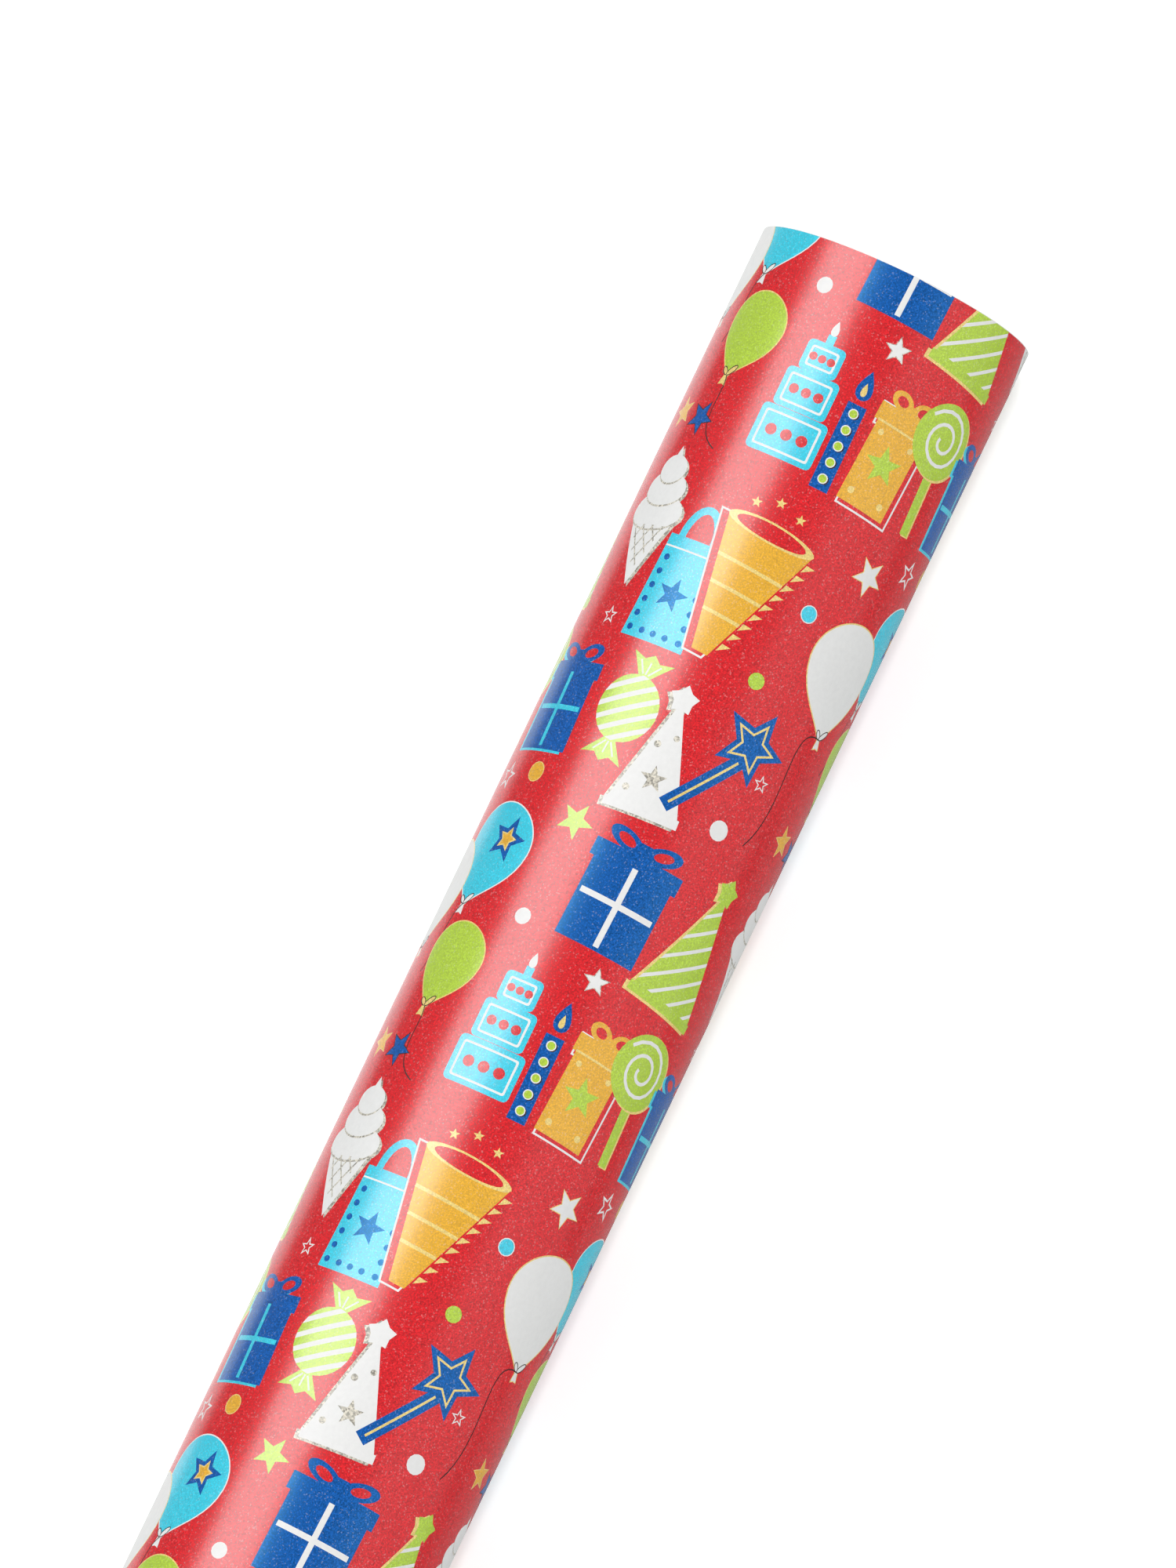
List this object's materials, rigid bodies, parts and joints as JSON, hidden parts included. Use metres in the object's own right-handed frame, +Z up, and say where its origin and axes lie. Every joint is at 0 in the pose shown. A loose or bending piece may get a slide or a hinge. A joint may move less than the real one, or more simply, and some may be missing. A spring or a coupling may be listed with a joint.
{
  "type": "wrapping paper roll",
  "caption": "Full roll of printed gift wrap lying on its side: paperboard core, wound sheet, and a free end that lifts and flattens.",
  "frame": {"origin": "on the surface the roll lies on, under the middle of the roll", "axes": "+X along the roll, +Z up, the sheet's free end goes up the +Y side"},
  "size_m": [0.762, 0.0636, 0.0634],
  "materials": {
    "core_board": "matte",
    "glue": "satin",
    "paper_edge": "matte",
    "paper_back": "matte",
    "ink_red": "satin",
    "ink_sky": "satin",
    "ink_lime": "satin",
    "ink_royal": "satin",
    "ink_orange": "satin",
    "ink_gold": "satin",
    "ink_white": "satin",
    "ink_silver": "satin",
    "ink_black": "satin",
    "tape_film": "gloss"
  },
  "bodies": {
    "roll": {"core_inner_ply": "core_board", "core_middle_ply": "core_board", "core_outer_ply": "core_board", "core_glue_line": "glue", "wound_sheet": "paper_edge", "outer_turn": "ink_red"},
    "tail_1": {"tail_panel_1": "ink_red"},
    "tail_2": {"tail_panel_2": "ink_red"},
    "tail_3": {"tail_panel_3": "ink_red"},
    "tail_4": {"tail_panel_4": "ink_red"},
    "tail_5": {"tail_panel_5": "ink_red", "tail_tape_left": "tape_film", "tail_tape_middle": "tape_film", "tail_tape_right": "tape_film"}
  },
  "joints": [
    {"name": "tail_lift", "type": "hinge", "parent": "roll", "child": "tail_1", "pos_m": [0, 0.00207, 0.00015], "axis": [-1, 0, 0], "range_deg": [0, 7.5], "stiffness_Nm_per_rad": 0.02, "springref_deg": -28.65},
    {"name": "tail_uncurl_2", "type": "hinge", "parent": "tail_1", "child": "tail_2", "pos_m": [0, 0.01016, 0.00176], "axis": [-1, 0, 0], "range_deg": [0, 15]},
    {"name": "tail_uncurl_3", "type": "hinge", "parent": "tail_2", "child": "tail_3", "pos_m": [0, 0.01756, 0.00541], "axis": [-1, 0, 0], "range_deg": [0, 15]},
    {"name": "tail_uncurl_4", "type": "hinge", "parent": "tail_3", "child": "tail_4", "pos_m": [0, 0.02376, 0.01085], "axis": [-1, 0, 0], "range_deg": [0, 15]},
    {"name": "tail_uncurl_5", "type": "hinge", "parent": "tail_4", "child": "tail_5", "pos_m": [0, 0.02834, 0.01771], "axis": [-1, 0, 0], "range_deg": [0, 15]}
  ],
  "couplings": [
    {"joint": "tail_uncurl_2", "follows": "tail_lift", "ratio": 2},
    {"joint": "tail_uncurl_3", "follows": "tail_lift", "ratio": 2},
    {"joint": "tail_uncurl_4", "follows": "tail_lift", "ratio": 2},
    {"joint": "tail_uncurl_5", "follows": "tail_lift", "ratio": 2}
  ]
}
